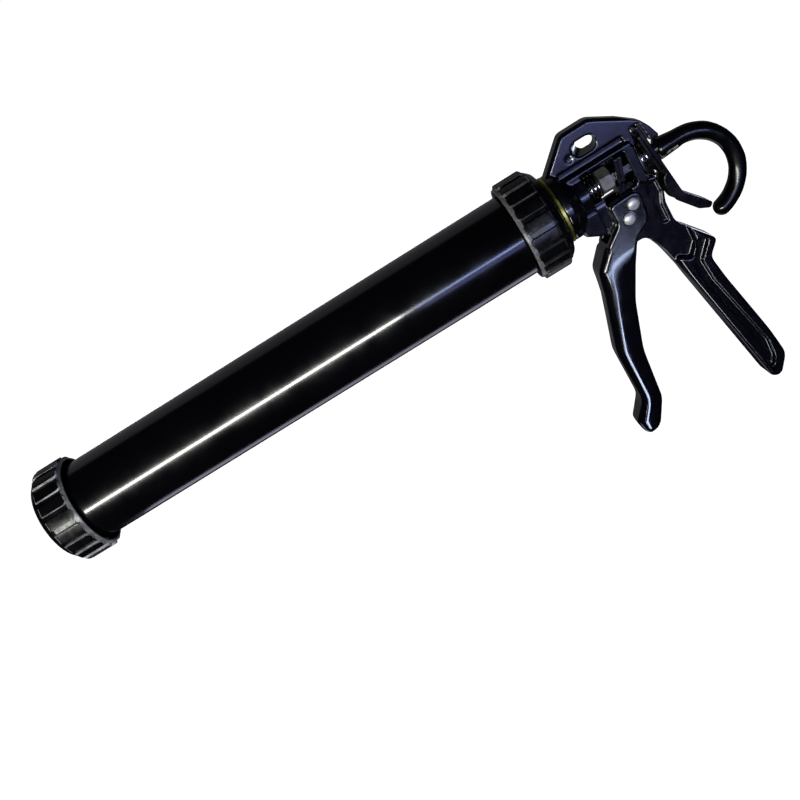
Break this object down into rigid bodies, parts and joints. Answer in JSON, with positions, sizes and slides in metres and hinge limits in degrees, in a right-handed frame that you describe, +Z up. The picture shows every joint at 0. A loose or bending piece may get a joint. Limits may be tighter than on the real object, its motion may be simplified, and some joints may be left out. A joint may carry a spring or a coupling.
{
  "type": "caulking gun",
  "caption": "Bulk caulking gun: black tube barrel with ribbed ring caps, die-cast frame with hanger fin, forked trigger, brake catch, and a hexagonal push rod bent into a coated hook.",
  "frame": {"origin": "centre of the nozzle opening in the front ring cap, on its outer face", "axes": "+X along the barrel from the nozzle end to the hook, +Z up, handles toward -Z"},
  "size_m": [0.4965, 0.0666, 0.224],
  "materials": {
    "gloss_black": "gloss",
    "ribbed_plastic": "satin",
    "yellow_zinc": "satin",
    "dark_plastic": "satin",
    "zinc_steel": "satin",
    "black_casting": "gloss",
    "rivet_metal": "polished",
    "spring_steel": "polished",
    "black_steel": "gloss",
    "rod_steel": "satin",
    "vinyl": "gloss",
    "seal_plastic": "satin"
  },
  "bodies": {
    "frame": {"body_casting": "black_casting", "trigger_pivot_rivet": "rivet_metal", "swivel_washer": "yellow_zinc", "retaining_nut": "zinc_steel", "return_spring": "spring_steel", "brake_spring": "spring_steel", "brake_washer": "zinc_steel"},
    "barrel": {"barrel_tube": "gloss_black", "rear_adaptor": "dark_plastic"},
    "front_cap": {"front_ring_cap": "ribbed_plastic"},
    "rear_cap": {"rear_ring_cap": "ribbed_plastic"},
    "trigger_lever": {"trigger": "black_casting", "drive_rivet": "rivet_metal", "drive_link": "black_steel"},
    "drive": {"drive_nut": "zinc_steel", "drive_plate_front": "black_steel", "drive_plate_rear": "black_steel"},
    "rod": {"push_rod": "rod_steel", "hook_coating": "vinyl", "piston_disc": "zinc_steel", "piston_seal": "seal_plastic", "piston_backing": "zinc_steel", "piston_collar": "zinc_steel", "piston_nut": "zinc_steel"},
    "catch": {"catch_lever": "black_steel", "brake_plate": "black_steel"}
  },
  "joints": [
    {"name": "barrel_swivel", "type": "hinge", "parent": "frame", "child": "barrel", "pos_m": [0.36, 0, 0], "axis": [1, 0, 0], "continuous": true},
    {"name": "front_cap_turn", "type": "hinge", "parent": "barrel", "child": "front_cap", "pos_m": [0.0135, 0, 0], "axis": [1, 0, 0], "continuous": true},
    {"name": "rear_cap_turn", "type": "hinge", "parent": "barrel", "child": "rear_cap", "pos_m": [0.362, 0, 0], "axis": [1, 0, 0], "continuous": true},
    {"name": "trigger_squeeze", "type": "hinge", "parent": "frame", "child": "trigger_lever", "pos_m": [0.4126, 0, -0.0262], "axis": [0, -1, 0], "range_deg": [0, 18], "stiffness_Nm_per_rad": 1.5, "springref_deg": -17.19},
    {"name": "drive_slide", "type": "slide", "parent": "frame", "child": "drive", "axis": [-1, 0, 0], "range_m": [0, 0.006], "deforming": ["return_spring"]},
    {"name": "rod_slide", "type": "slide", "parent": "frame", "child": "rod", "axis": [1, 0, 0], "range_m": [0, 0.335]},
    {"name": "catch_tilt", "type": "hinge", "parent": "frame", "child": "catch", "pos_m": [0.4413, 0, 0.0194], "axis": [0, 1, 0], "range_deg": [0, 4], "stiffness_Nm_per_rad": 1.2, "springref_deg": -8.59, "deforming": ["brake_spring"]}
  ],
  "couplings": [
    {"joint": "drive_slide", "follows": "trigger_squeeze", "m_per_rad": 0.019}
  ]
}
